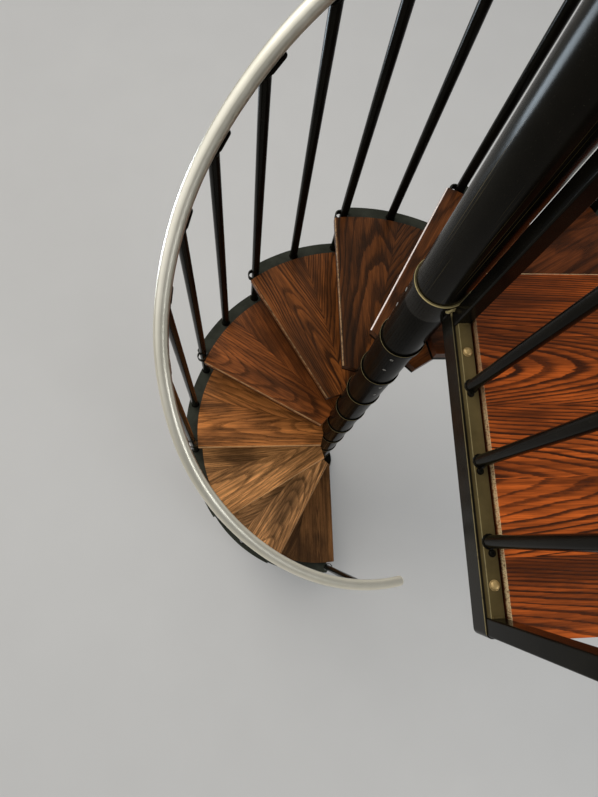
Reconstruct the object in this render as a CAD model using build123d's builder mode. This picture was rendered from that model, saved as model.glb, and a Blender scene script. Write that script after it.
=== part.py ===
from build123d import *
from math import sin, cos, asin, radians, degrees
import os

# Spiral stair, millimetres, +Z up
# Origin: underside of the base plate on the column axis
# The landing fills the quarter x > 0, y < 0, and the flight climbs clockwise seen from above

# Flight
RISER = 225.0
TREADS = 9
STEP = 30.0
LANDING_Z = RISER * (TREADS + 1)

# Column: pole, sleeves threaded over it, base plate
POLE_R = 44.45
POLE_WALL = 5.5
RUN_GAP = 0.3
SLEEVE_WALL = 4.25
RING_PROUD = 4.0
RING_H = 12.0
RING_EDGE = 1.0
GROOVE_DEPTH = 2.0
GROOVE_H = 5.0
BASE_R = 110.0
BASE_T = 12.0
BASE_EDGE = 2.0
BASE_BOLTS = 4
BASE_BOLT_PCD = 168.0
BASE_BOLT_R = 6.5
NEWEL_H = 960.0
CAP_T = 8.0
CAP_PROUD = 2.0
CAP_EDGE = 3.0
BORE_R = POLE_R + RUN_GAP
SLEEVE_R = BORE_R + SLEEVE_WALL
RING_R = SLEEVE_R + RING_PROUD
POLE_TOP = LANDING_Z + NEWEL_H

# Tread boards
BOARD_R = 565.0
BOARD_T = 25.0
FRONT_LEAD = 70.0
BACK_LAP = 60.0
HUB_BITE = 9.0
NOSE_R = 6.0
BOARD_GAP = 1.0
HUB_CUT = SLEEVE_R - HUB_BITE

# Tread pans: plate with turned-down sides, a rim outside the wood and a loop at the front corner
PAN_DEPTH = 20.0
PAN_INSET = 4.0
PAN_BACK_INSET = 2.0
PLATE_T = 4.0
LIP_T = 4.0
RIM_W = 51.0
RIM_START = 300.0
LOOP_GAP = 1.0
LOOP_WALL = 3.5
LOOP_RUN = 11.0
STAIR_R = BOARD_R + RIM_W
SEAT_DROP = BOARD_T + PAN_DEPTH

# Landing
LAND_SIDE = 600.0
BEAM_X = 18.0
BEAM_W = 52.0
BEAM_H = 50.0
BEAM_WALL = 5.0
BEAM_CORNER_R = 10.0
DECK_NOSE = 18.0
DECK_OVER = 4.0
BOLT_R = 5.5
BOLT_PITCH = 300.0
BEAM_TOP = LANDING_Z - BOARD_T
BEAM_FOOT = BEAM_TOP - BEAM_H

# Balusters and handrail
BAL_R = 13.5
BAL_CLEAR = 2.5
RAIL_R = 561.0
RAIL_TUBE_R = 18.5
RAIL_FLAT = 1.0
RAIL_UP = 925.0
RAIL_PAST = 5.3
FLARE_FROM = 225.0
FLARE_OUT = 76.0
HEADING_STEP = 0.01
PLUG_T = 4.0
PLUG_EDGE = 2.0
TAB_L = 51.0
TAB_BACK = 15.0
TAB_W = 34.0
TAB_T = 6.0
TAB_CORNER_R = 8.0
TAB_SADDLE = 1.5
SEAT_GAP = 0.1
TAB_DROP = RAIL_TUBE_R + TAB_T - TAB_SADDLE
BAL_RING_R = BOARD_R + RIM_W / 2
BAL_SIDE = DECK_NOSE + BAL_CLEAR + BAL_R
BAL_LEAD = degrees(asin(BAL_SIDE / BAL_RING_R))
BAL_PITCH = STEP / 2

# Guard along the landing's open side
POST_W = 28.0
POST_WALL = 2.5
POST_CORNER_R = 3.0
POST_EDGE = 2.0
POST_GAP = 0.5
POST_INSET = 18.0
GUARD_BAYS = 4
GUARD_BAL_R = 10.5
BAR_W = 22.0
BAR_T = 15.0
TOP_BAR_W = 32.0
TOP_BAR_T = 8.0
DECK_GAP = 3.0
GUARD_H = 915.0
GUARD_X = BEAM_X + POST_EDGE + POST_W / 2
DECK_X = GUARD_X + POST_W / 2 + DECK_GAP

os.makedirs("parts", exist_ok=True)


# Azimuth of a tread's front edge line; the landing's front lies at azimuth 0
def front_azimuth(n):
    return STEP * (TREADS + 1 - n)


def tread_top(n):
    return RISER * n


def save(part, name):
    part.label = name
    export_step(part, "parts/" + name + ".step")


# Base plate
with BuildPart() as base_plate:
    with BuildSketch():
        Circle(BASE_R)
    extrude(amount=BASE_T)
    chamfer(base_plate.edges().group_by(Axis.Z)[-1], BASE_EDGE)
    with Locations((0, 0, BASE_T)):
        with PolarLocations(BASE_BOLT_PCD / 2, BASE_BOLTS, start_angle=45):
            Hole(BASE_BOLT_R)
save(base_plate.part, "base_plate")

# Centre pole
with BuildPart() as center_pole:
    with BuildSketch(Plane.XY.offset(BASE_T)):
        Circle(POLE_R)
        Circle(POLE_R - POLE_WALL, mode=Mode.SUBTRACT)
    extrude(amount=POLE_TOP - BASE_T)
save(center_pole.part, "center_pole")


# Half sections of a sleeve, from its bore outwards: grooved foot, plain foot, ringed head, plain head
def grooved_foot(z):
    groove_r = SLEEVE_R - GROOVE_DEPTH
    return [(BORE_R, z), (groove_r, z), (groove_r, z + GROOVE_H), (SLEEVE_R, z + GROOVE_H)]


def plain_foot(z):
    return [(BORE_R, z), (SLEEVE_R, z)]


def ringed_head(z):
    under = z - RING_H
    return [(SLEEVE_R, under), (RING_R, under), (RING_R, z - RING_EDGE), (RING_R - RING_EDGE, z), (BORE_R, z)]


def plain_head(z):
    return [(SLEEVE_R, z), (BORE_R, z)]


def half_section(points):
    with BuildSketch(Plane.XZ) as section:
        with BuildLine():
            Polyline(*points, close=True)
        make_face()
    return section.sketch


with BuildPart() as base_sleeve:
    add(half_section(grooved_foot(BASE_T) + ringed_head(tread_top(1) - SEAT_DROP)))
    revolve(axis=Axis.Z)
save(base_sleeve.part, "base_sleeve")

# Newel sleeve and cap above the landing
with BuildPart() as newel_sleeve:
    with BuildSketch(Plane.XY.offset(LANDING_Z)):
        Circle(SLEEVE_R)
        Circle(BORE_R, mode=Mode.SUBTRACT)
    extrude(amount=NEWEL_H)
save(newel_sleeve.part, "newel_sleeve")

with BuildPart() as newel_cap:
    with BuildSketch(Plane.XY.offset(POLE_TOP)):
        Circle(SLEEVE_R + CAP_PROUD)
    extrude(amount=CAP_T)
    chamfer(newel_cap.edges().group_by(Axis.Z)[-1], CAP_EDGE)
save(newel_cap.part, "newel_cap")


# Point at a radius on the line parallel to the ray at an azimuth, set off to its left
def rim_corner(azimuth, offset, radius):
    along = (radius ** 2 - offset ** 2) ** 0.5
    return Vector(along, offset).rotate(Axis.Z, azimuth)


# Point where that line meets the straight inner end, square to the tread's middle line
def hub_corner(azimuth, offset, cut):
    swing = radians(azimuth + STEP / 2)
    along = (cut + offset * sin(swing)) / cos(swing)
    return Vector(along, offset).rotate(Axis.Z, azimuth)


# Plan of a tread: front edge set off from azimuth 0, back edge from azimuth -STEP
def tread_plan(lead, lap, radius, cut):
    front = rim_corner(0, lead, radius)
    back = rim_corner(-STEP, -lap, radius)
    middle = Vector(radius, 0).rotate(Axis.Z, -STEP / 2)
    with BuildSketch() as plan:
        with BuildLine():
            ThreePointArc(front, middle, back)
            Polyline(back, hub_corner(-STEP, -lap, cut), hub_corner(0, lead, cut), front)
        make_face()
    return plan.sketch


# Tread board with a rounded nosing, cut round the sleeve
with BuildPart() as board:
    with BuildSketch():
        add(tread_plan(FRONT_LEAD, BACK_LAP, BOARD_R, HUB_CUT))
        Circle(SLEEVE_R + BOARD_GAP, mode=Mode.SUBTRACT)
    extrude(amount=-BOARD_T)
    nose = board.faces().sort_by(Axis.Y)[-1]
    fillet(nose.edges().filter_by(Axis.X), NOSE_R)

# Tread pan, hollow below, with a loop that takes the corner baluster
LOOP_W = 2 * (BAL_R + LOOP_GAP + LOOP_WALL)
LOOP_L = LOOP_W + LOOP_RUN
loop_at = rim_corner(0, BAL_SIDE + LOOP_RUN / 2, BAL_RING_R)
loop_place = Location((loop_at.X, loop_at.Y), 90 + BAL_LEAD)


def pan_plan(inset):
    lead = FRONT_LEAD - PAN_INSET - inset
    lap = BACK_LAP - PAN_BACK_INSET - inset
    with BuildSketch() as plan:
        add(tread_plan(lead, lap, BOARD_R, HUB_CUT + PAN_INSET + inset))
        add(tread_plan(BAL_SIDE - inset, lap, STAIR_R - inset, RIM_START))
    return plan.sketch


with BuildPart() as pan:
    with BuildSketch(Plane.XY.offset(-BOARD_T)):
        add(pan_plan(0))
        with Locations(loop_place):
            SlotOverall(LOOP_L, LOOP_W)
    extrude(amount=-PAN_DEPTH)
    with BuildSketch(Plane.XY.offset(-SEAT_DROP)):
        add(pan_plan(LIP_T))
        with Locations(loop_place):
            SlotOverall(LOOP_L, LOOP_W, mode=Mode.SUBTRACT)
    extrude(amount=PAN_DEPTH - PLATE_T, mode=Mode.SUBTRACT)
    with BuildSketch(Plane.XY.offset(-BOARD_T)):
        Circle((BORE_R + SLEEVE_R) / 2)
        with Locations(loop_place):
            SlotOverall(LOOP_L - 2 * LOOP_WALL, LOOP_W - 2 * LOOP_WALL)
    extrude(amount=-PAN_DEPTH, mode=Mode.SUBTRACT)

# Tread frames, each a pan welded to its sleeve, and the boards on them
for n in range(1, TREADS + 1):
    number = "%02d" % n
    place = Location((0, 0, tread_top(n)), (0, 0, front_azimuth(n)))
    head = plain_head(BEAM_FOOT) if n == TREADS else ringed_head(tread_top(n + 1) - SEAT_DROP)
    with BuildPart() as frame:
        add(pan.part.moved(place))
        add(half_section(grooved_foot(tread_top(n) - SEAT_DROP) + head))
        revolve(axis=Axis.Z)
    save(frame.part, "tread_frame_" + number)
    save(board.part.moved(place), "tread_board_" + number)

# Landing frame: channels open below round two bays, a hub, and bolt holes in the two far sides
BEAM_NORTH = DECK_NOSE - DECK_OVER
LAND_WIDE = LAND_SIDE - BEAM_X
LAND_DEEP = LAND_SIDE + BEAM_NORTH
LAND_MID_X = (LAND_SIDE + BEAM_X) / 2
LAND_MID_Y = (BEAM_NORTH - LAND_SIDE) / 2
BAY_W = (LAND_WIDE - 3 * BEAM_W) / 2
BAY_D = LAND_DEEP - 2 * BEAM_W
WEB_Z = BEAM_TOP - (BEAM_H + BEAM_WALL) / 2


def channel_plan(wall):
    with BuildSketch() as plan:
        with Locations((LAND_MID_X, LAND_MID_Y)):
            RectangleRounded(LAND_WIDE - 2 * wall, LAND_DEEP - 2 * wall, BEAM_CORNER_R)
            with GridLocations(BAY_W + BEAM_W, BAY_D, 2, 1):
                Rectangle(BAY_W + 2 * wall, BAY_D + 2 * wall, mode=Mode.SUBTRACT)
    return plan.sketch


with BuildPart() as landing_frame:
    with BuildSketch(Plane.XY.offset(BEAM_TOP)):
        add(channel_plan(0))
    extrude(amount=-BEAM_H)
    with BuildSketch(Plane.XY.offset(BEAM_FOOT)):
        add(channel_plan(BEAM_WALL))
    extrude(amount=BEAM_H - BEAM_WALL, mode=Mode.SUBTRACT)
    add(half_section(plain_foot(BEAM_FOOT) + ringed_head(LANDING_Z)))
    revolve(axis=Axis.Z)
    with Locations((0, 0, LANDING_Z)):
        Hole(BORE_R, depth=BEAM_H + BOARD_T)
    with Locations(Plane((LAND_SIDE, LAND_MID_Y, WEB_Z), x_dir=(0, 1, 0), z_dir=(1, 0, 0))):
        with GridLocations(BOLT_PITCH, BOLT_R, 2, 1):
            Hole(BOLT_R, depth=BEAM_WALL)
    with Locations(Plane((LAND_MID_X, -LAND_SIDE, WEB_Z), x_dir=(1, 0, 0), z_dir=(0, -1, 0))):
        with GridLocations(BOLT_PITCH, BOLT_R, 2, 1):
            Hole(BOLT_R, depth=BEAM_WALL)
save(landing_frame.part, "landing_frame")

# Landing deck, notched round the hub, with a rounded nosing
DECK_WIDE = LAND_SIDE - DECK_X
DECK_DEEP = LAND_SIDE + DECK_NOSE
with BuildPart() as landing_deck:
    with BuildSketch(Plane.XY.offset(BEAM_TOP)):
        with Locations((LAND_SIDE - DECK_WIDE / 2, DECK_NOSE - DECK_DEEP / 2)):
            Rectangle(DECK_WIDE, DECK_DEEP)
        Circle(RING_R + BOARD_GAP, mode=Mode.SUBTRACT)
    extrude(amount=BOARD_T)
    nose = landing_deck.faces().sort_by(Axis.Y)[-1]
    fillet(nose.edges().filter_by(Axis.X), NOSE_R)
save(landing_deck.part, "landing_deck")

# Guard: posts just clear of the hub ring and near the far corner, its top bar and rail coped to the newel
POST_START = -(((RING_R + POST_GAP) ** 2 - (GUARD_X - POST_W / 2) ** 2) ** 0.5 + POST_W / 2)
POST_END = POST_INSET - LAND_SIDE
GUARD_RUN = POST_START - POST_END
GUARD_MID_Y = (POST_START + POST_END) / 2
GUARD_BAY = GUARD_RUN / GUARD_BAYS
GUARD_TAIL = POST_END - POST_W / 2
TOP_BAR_Z = LANDING_Z + GUARD_H - 2 * RAIL_TUBE_R - TOP_BAR_T
with BuildPart() as guard_posts:
    with BuildSketch(Plane.XY.offset(BEAM_TOP)):
        with Locations((GUARD_X, GUARD_MID_Y)):
            with GridLocations(POST_W, GUARD_RUN, 1, 2):
                RectangleRounded(POST_W, POST_W, POST_CORNER_R)
                Rectangle(POST_W - 2 * POST_WALL, POST_W - 2 * POST_WALL, mode=Mode.SUBTRACT)
    extrude(amount=TOP_BAR_Z - BEAM_TOP)
save(guard_posts.part, "guard_posts")

with BuildPart() as guard_bottom_bar:
    with BuildSketch(Plane.XY.offset(BEAM_TOP)):
        with Locations((GUARD_X, GUARD_MID_Y)):
            Rectangle(BAR_W, GUARD_RUN - POST_W)
    extrude(amount=BAR_T)
save(guard_bottom_bar.part, "guard_bottom_bar")

with BuildPart() as guard_balusters:
    with BuildSketch(Plane.XY.offset(BEAM_TOP + BAR_T)):
        with Locations((GUARD_X, GUARD_MID_Y)):
            with GridLocations(POST_W, GUARD_BAY, 1, GUARD_BAYS - 1):
                Circle(GUARD_BAL_R)
    extrude(amount=TOP_BAR_Z - BEAM_TOP - BAR_T)
save(guard_balusters.part, "guard_balusters")

with BuildPart() as guard_top_bar:
    with BuildSketch(Plane.XY.offset(TOP_BAR_Z)):
        with Locations((GUARD_X, GUARD_TAIL)):
            Rectangle(TOP_BAR_W, -GUARD_TAIL, align=(Align.CENTER, Align.MIN))
        Circle(SLEEVE_R + SEAT_GAP, mode=Mode.SUBTRACT)
    extrude(amount=TOP_BAR_T)
save(guard_top_bar.part, "guard_top_bar")

GUARD_RAIL_Z = TOP_BAR_Z + TOP_BAR_T + RAIL_TUBE_R - RAIL_FLAT
guard_rail_end = Plane((GUARD_X, GUARD_TAIL, GUARD_RAIL_Z), x_dir=(1, 0, 0), z_dir=(0, -1, 0))
with BuildPart() as guard_handrail:
    with BuildSketch(guard_rail_end):
        Circle(RAIL_TUBE_R)
    extrude(amount=GUARD_TAIL)
    split(bisect_by=Plane.XY.offset(TOP_BAR_Z + TOP_BAR_T), keep=Keep.TOP)
    with Locations((0, 0, POLE_TOP)):
        Hole(SLEEVE_R + SEAT_GAP)
save(guard_handrail.part, "guard_handrail")

# Stair balusters stand every half step, and the handrail bends anew at each of them
baluster_azimuths = [front_azimuth(1) + BAL_LEAD - k * BAL_PITCH for k in range(2 * TREADS + 1)]
RAIL_START = baluster_azimuths[0] + BAL_PITCH
RAIL_END = baluster_azimuths[-1] - RAIL_PAST
rail_stops = [RAIL_START] + baluster_azimuths + [RAIL_END]


# Handrail centre at an azimuth: a helix that opens outwards towards its foot
def rail_point(azimuth):
    opening = max(azimuth - FLARE_FROM, 0) / (RAIL_START - FLARE_FROM)
    height = LANDING_Z - RISER * azimuth / STEP + RAIL_UP
    return Vector(RAIL_R + FLARE_OUT * opening ** 2, 0, height).rotate(Axis.Z, azimuth)


# The rail's centre line as tangent arcs, uphill from its free end
rail_arcs = []
heading = rail_point(RAIL_START - HEADING_STEP) - rail_point(RAIL_START)
for low, high in zip(rail_stops, rail_stops[1:]):
    with BuildLine():
        arc = TangentArc(rail_point(low), rail_point(high), tangent=heading)
    heading = arc % 1
    rail_arcs.append(arc)


# Round rail along some of the arcs
def rail_run(arcs, radius):
    with BuildPart() as rail:
        with BuildLine() as path:
            add(arcs)
        with BuildSketch(Plane(arcs[0] @ 0, z_dir=arcs[0] % 0)):
            Circle(radius)
        sweep(path=path.wire())
    return rail.part


third = len(rail_arcs) // 3
save(rail_run(rail_arcs[:third], RAIL_TUBE_R), "handrail_lower")
save(rail_run(rail_arcs[third:2 * third], RAIL_TUBE_R), "handrail_middle")
save(rail_run(rail_arcs[2 * third:], RAIL_TUBE_R), "handrail_upper")


# Plug over a tube end, its rim eased
def rail_plug(face):
    with BuildPart() as plug:
        with BuildSketch(face):
            Circle(RAIL_TUBE_R)
        extrude(amount=PLUG_T)
        chamfer(plug.edges().sort_by(Axis(face.origin, face.z_dir))[-1], PLUG_EDGE)
    return plug.part


rail_foot = Plane(rail_arcs[0] @ 0, z_dir=(rail_arcs[0] % 0) * -1)
rail_head = Plane(rail_arcs[-1] @ 1, z_dir=rail_arcs[-1] % 1)
plug_faces = (rail_foot, rail_head, guard_rail_end)
save(Compound(children=[rail_plug(face) for face in plug_faces]), "rail_plugs")


# Plane below the rail where its arc k ends, x uphill along the rail
def under_rail(k, drop):
    along = rail_arcs[k] % 1
    outward = Vector(1, 0, 0).rotate(Axis.Z, baluster_azimuths[k])
    up = along.cross(outward).normalized()
    if up.Z < 0:
        up = up * -1
    return Plane(rail_arcs[k] @ 1 - up * drop, x_dir=along, z_dir=up)


# Leaning round bar from its foot, through the rim circle at ring_z, to the tab under the rail
def baluster(k, foot, ring_z):
    top = rail_arcs[k] @ 1
    held = Vector(BAL_RING_R, 0, ring_z).rotate(Axis.Z, baluster_azimuths[k])
    lean = (top - held).normalized()
    start = held - lean * ((ring_z - foot) / lean.Z + BAL_R)
    with BuildPart() as bar:
        with BuildSketch(Plane(start, z_dir=lean)):
            Circle(BAL_R)
        extrude(amount=(top - start).length)
        split(bisect_by=Plane.XY.offset(foot), keep=Keep.TOP)
        split(bisect_by=under_rail(k, TAB_DROP), keep=Keep.BOTTOM)
    return bar.part


# Tab on the baluster's head, its corners rounded, hollowed to the rail's round
def rail_tab(k):
    with BuildPart() as tab:
        with BuildSketch(under_rail(k, TAB_DROP)):
            with Locations((TAB_L / 2 - TAB_BACK, 0)):
                RectangleRounded(TAB_L, TAB_W, TAB_CORNER_R)
        extrude(amount=TAB_T)
        add(rail_run(rail_arcs[k:k + 2], RAIL_TUBE_R + SEAT_GAP), mode=Mode.SUBTRACT)
    return tab.part


corner_balusters = []
middle_balusters = []
for n in range(1, TREADS + 2):
    plate = tread_top(n) - BOARD_T
    foot = tread_top(n - 1) - BOARD_T if n > 1 else 0
    corner_balusters.append(baluster(2 * n - 2, foot, plate))
    if n <= TREADS:
        middle_balusters.append(baluster(2 * n - 1, plate, plate))
save(Compound(children=corner_balusters), "corner_balusters")
save(Compound(children=middle_balusters), "middle_balusters")
save(Compound(children=[rail_tab(k) for k in range(2 * TREADS + 1)]), "rail_tabs")
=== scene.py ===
import math
import random

import bmesh
import bpy
from mathutils import Matrix, Vector


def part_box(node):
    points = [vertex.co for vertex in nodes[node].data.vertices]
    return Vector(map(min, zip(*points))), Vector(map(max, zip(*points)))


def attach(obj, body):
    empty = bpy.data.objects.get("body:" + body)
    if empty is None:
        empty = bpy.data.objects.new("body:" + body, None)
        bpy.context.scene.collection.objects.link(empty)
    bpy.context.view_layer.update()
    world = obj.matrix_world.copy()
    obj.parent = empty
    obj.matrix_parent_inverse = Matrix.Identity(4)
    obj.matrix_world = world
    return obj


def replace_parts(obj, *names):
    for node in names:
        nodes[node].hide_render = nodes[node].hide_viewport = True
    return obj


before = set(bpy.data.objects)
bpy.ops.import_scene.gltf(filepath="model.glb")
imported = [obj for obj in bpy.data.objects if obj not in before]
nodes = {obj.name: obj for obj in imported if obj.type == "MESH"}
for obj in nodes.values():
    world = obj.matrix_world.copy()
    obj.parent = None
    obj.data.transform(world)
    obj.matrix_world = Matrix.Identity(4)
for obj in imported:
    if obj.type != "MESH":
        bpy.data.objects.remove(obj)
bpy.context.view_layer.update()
SEED = 11
rng = random.Random(SEED)

# Flight, in metres and degrees, as in the CAD source
RISER = 0.225
TREADS = 9
STEP = 30
LANDING_Z = RISER * (TREADS + 1)
SLEEVE_R = 0.049
RING_R = 0.053
BASE_T = 0.012
BASE_BOLTS = 4
BASE_BOLT_RING = 0.084
BOARD_T = 0.025
SEAT_DROP = 0.045
FRONT_LEAD = 0.070
BACK_LAP = 0.060
BAL_R = 0.0135
BAL_RING_R = 0.5905
BAL_SIDE = 0.034
BAL_LEAD = math.degrees(math.asin(BAL_SIDE / BAL_RING_R))
BAL_PITCH = 15
RAIL_R = 0.561
RAIL_TUBE_R = 0.0185
RAIL_UP = 0.925
RAIL_PAST = 5.3
RAIL_START = STEP * TREADS + BAL_LEAD + BAL_PITCH
RAIL_END = BAL_LEAD - RAIL_PAST
FLARE_FROM = 225
FLARE_OUT = 0.076
TAB_DROP = 0.023

# Landing and guard
DECK_X = 0.051
BEAM_X = 0.018
BEAM_H = 0.050
BEAM_NORTH = 0.014
BEAM_TOP = LANDING_Z - BOARD_T
BEAM_FOOT = BEAM_TOP - BEAM_H
BAR_T = 0.015
BAR_TOP = BEAM_TOP + BAR_T
GUARD_X = 0.034
GUARD_START_Y = -0.0636
GUARD_BAY = 0.1296
GUARD_BAL_R = 0.0105
GUARD_FEET_Y = [GUARD_START_Y - GUARD_BAY * k for k in (1, 2, 3)]

# Camera fitted to the photograph, its turns in the order in which they are multiplied
IMAGE_LENS = 24.561
IMAGE_SENSOR = 36.0
CAMERA_NEAR = 0.05
CAMERA_PLACE = (-0.344094, -0.436012, 3.114379)
CAMERA_TURNS = (("Z", -0.0113021), ("X", 0.2520315), ("Y", -0.0845841))

UP = Vector((0, 0, 1))


def front_azimuth(n):
    return STEP * (TREADS + 1 - n)


def polar(radius, azimuth, z):
    a = math.radians(azimuth)
    return Vector((radius * math.cos(a), radius * math.sin(a), z))


def show(thing):
    bpy.context.scene.collection.objects.link(thing)
    return thing


camera = show(bpy.data.objects.new("camera", bpy.data.cameras.new("camera")))
camera.data.sensor_fit = "AUTO"
camera.data.sensor_width = IMAGE_SENSOR
camera.data.lens = IMAGE_LENS
camera.data.clip_start = CAMERA_NEAR
stand = Matrix.Translation(CAMERA_PLACE)
for axis, angle in CAMERA_TURNS:
    stand = stand @ Matrix.Rotation(angle, 4, axis)
camera.matrix_world = stand
bpy.context.scene.camera = camera
bpy.context.scene.view_settings.view_transform = "Standard"


# Node trees: one material, its shader, and short calls that make and join nodes
class Paint:
    def __init__(self, name):
        self.material = bpy.data.materials.new(name)
        self.material.use_nodes = True
        self.tree = self.material.node_tree
        self.tree.nodes.clear()
        self.output = self.tree.nodes.new("ShaderNodeOutputMaterial")
        self.shader = self.tree.nodes.new("ShaderNodeBsdfPrincipled")
        self.tree.links.new(self.shader.outputs[0], self.output.inputs[0])
        self.place = self.add("ShaderNodeTexCoord").outputs["Object"]

    def add(self, kind, inputs=None, **settings):
        node = self.tree.nodes.new(kind)
        for key, value in settings.items():
            setattr(node, key, value)
        for key, value in (inputs or {}).items():
            self.feed(node.inputs[key], value)
        return node

    def feed(self, socket, value):
        if isinstance(value, bpy.types.NodeSocket):
            self.tree.links.new(value, socket)
        else:
            socket.default_value = value

    def math(self, operation, a, b=0.0, c=0.0, clamp=False):
        inputs = {0: a, 1: b, 2: c}
        return self.add("ShaderNodeMath", inputs, operation=operation, use_clamp=clamp).outputs[0]

    def product(self, first, *others):
        for other in others:
            first = self.math("MULTIPLY", first, other)
        return first

    def scaled(self, value, factor, offset):
        return self.math("MULTIPLY_ADD", value, factor, offset)

    def vector(self, operation, a, b=(0, 0, 0)):
        node = self.add("ShaderNodeVectorMath", {0: a, 1: b}, operation=operation)
        return node.outputs["Value" if operation in ("LENGTH", "DOT_PRODUCT") else "Vector"]

    def split(self, vector):
        return self.add("ShaderNodeSeparateXYZ", {0: vector}).outputs

    def join(self, x, y, z):
        return self.add("ShaderNodeCombineXYZ", {0: x, 1: y, 2: z}).outputs[0]

    # Distance from the pole's axis
    def radius(self, x, y):
        return self.vector("LENGTH", self.join(x, y, 0.0))

    # Coordinates of the place, and its distance from the pole's axis
    def spot(self):
        x, y, z = self.split(self.place)[:3]
        return x, y, z, self.radius(x, y)

    def turn(self, vector, degrees):
        inputs = {"Vector": vector, "Angle": math.radians(degrees)}
        return self.add("ShaderNodeVectorRotate", inputs, rotation_type="Z_AXIS").outputs[0]

    def noise(self, vector, scale=1.0, detail=2.0, roughness=0.5):
        inputs = {"Vector": vector, "Scale": scale, "Detail": detail, "Roughness": roughness}
        return self.add("ShaderNodeTexNoise", inputs).outputs[0]

    # Noise drawn out along x: its scales along and across, detail and roughness
    def grain(self, vector, along, across, detail, roughness):
        stretched = self.vector("MULTIPLY", vector, (along, across, across))
        return self.noise(stretched, 1.0, detail, roughness)

    def band(self, value, low, high, out_low=0.0, out_high=1.0, smooth=True):
        inputs = {"Value": value, "From Min": low, "From Max": high,
                  "To Min": out_low, "To Max": out_high}
        kind = "SMOOTHSTEP" if smooth else "LINEAR"
        return self.add("ShaderNodeMapRange", inputs, interpolation_type=kind).outputs[0]

    # The same with its two ends given from an edge
    def near(self, value, edge, low, high, *levels):
        return self.band(value, edge + low, edge + high, *levels)

    def blend(self, factor, a, b, mode="MIX"):
        node = self.add("ShaderNodeMix", data_type="RGBA", blend_type=mode)
        for socket, value in ((0, factor), (6, a), (7, b)):
            self.feed(node.inputs[socket], value)
        return node.outputs[2]

    def pick(self, factor, a, b):
        node = self.add("ShaderNodeMix", data_type="VECTOR")
        for socket, value in ((0, factor), (4, a), (5, b)):
            self.feed(node.inputs[socket], value)
        return node.outputs[1]

    def ramp(self, value, *stops, steps=False):
        node = self.add("ShaderNodeValToRGB", {0: value})
        node.color_ramp.interpolation = "CONSTANT" if steps else "LINEAR"
        elements = node.color_ramp.elements
        while len(elements) < len(stops):
            elements.new(1.0)
        for element, (at, colour) in zip(elements, stops):
            element.position = at
            element.color = colour
        return node.outputs[0]

    def bump(self, height, distance, strength):
        inputs = {"Height": height, "Distance": distance, "Strength": strength}
        return self.add("ShaderNodeBump", inputs).outputs[0]

    def finish(self, **inputs):
        for key, value in inputs.items():
            self.feed(self.shader.inputs[key.replace("_", " ")], value)
        return self.material


def rgb(r, g, b):
    def linear(c):
        c /= 255
        return c / 12.92 if c <= 0.04045 else ((c + 0.055) / 1.055) ** 2.4

    return (linear(r), linear(g), linear(b), 1.0)


# Cloudy colour between two tones
def clouded(p, cloud, low, high, start=0.3, end=0.7):
    return p.ramp(cloud, (start, rgb(*low)), (end, rgb(*high)))


# Noises of the wood: scale along the grain and across it, detail, roughness
BEND = (1.9, 7.0, 2.0, 0.45)
FEATHER = (16.0, 380.0, 2.0, 0.6)
WOBBLE = (8.0, 45.0, 1.0, 0.5)
FIBRES = (14.0, 800.0, 3.0, 0.6)
PORES = (70.0, 1900.0, 1.0, 0.5)
STREAK = (1.6, 70.0, 2.0, 0.6)
CLOUD = (4.0, 11.0, 3.0, 0.6)
# The tone they give it: two values of the noise and the factors there
STREAK_TONE = (0.32, 0.68, 1.30, 0.58)
CLOUD_TONE = (0.34, 0.66, 0.50, 1.34)
FEATHER_TONE = (0.34, 0.66, 0.80, 1.20)
# How far noise moves the growth lines, in years
FEATHER_SHIFT = 0.40
WOBBLE_SHIFT = 0.6
# Early wood: what chance adds to its least share of a year, and the same for how dark its line
# is; the part of a year in which it starts, and of its own width in which it ends
EARLY_SHARE = (0.40, 0.30)
EARLY_DRAWN = (0.6, 0.44)
EARLY_START = (0.0, 0.06)
EARLY_END = (0.4, 1.0)
# The rest of the year grows lighter, with fibres in it
LATE_YEAR = (0.2, 1.0)
LATE_WEIGHT = 0.35
FIBRE_TONE = (1.0, -0.2)
# Pores: where their noise opens, their share in early wood and beyond it, and the deepest tone
PORES_OPEN = (0.56, 0.64)
PORES_SHARE = (0.7, 0.16)
# Weight of the deep colour in glue seams, and in the deck's painted shade
DEEPENED_WEIGHT = 0.6
DEEP = 0.4
# How far the heart's line dips along the board, and how far it sways, in metres
LOG_TILT = 0.040
TREAD_SWAY = 0.022
DECK_SWAY = 0.007
# Roughness, and what pores, fibres and worn edges add to it
OAK_ROUGH = 0.30
PORES_ROUGH = 0.3
FIBRES_ROUGH = 0.14
EDGE_ROUGH = 0.25
# Relief: fibres stand up, early wood and pores sink; its depth and strength
FIBRES_UP = 0.3
EARLY_DOWN = 0.35
OAK_RELIEF = (0.00022, 0.6)
OAK_GLOSS = {
    "Specular_IOR_Level": 0.15,
    "Specular_Tint": (1.0, 0.85, 0.65, 1.0),
    "Coat_Weight": 0.03,
    "Coat_Roughness": 0.12,
}


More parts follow.
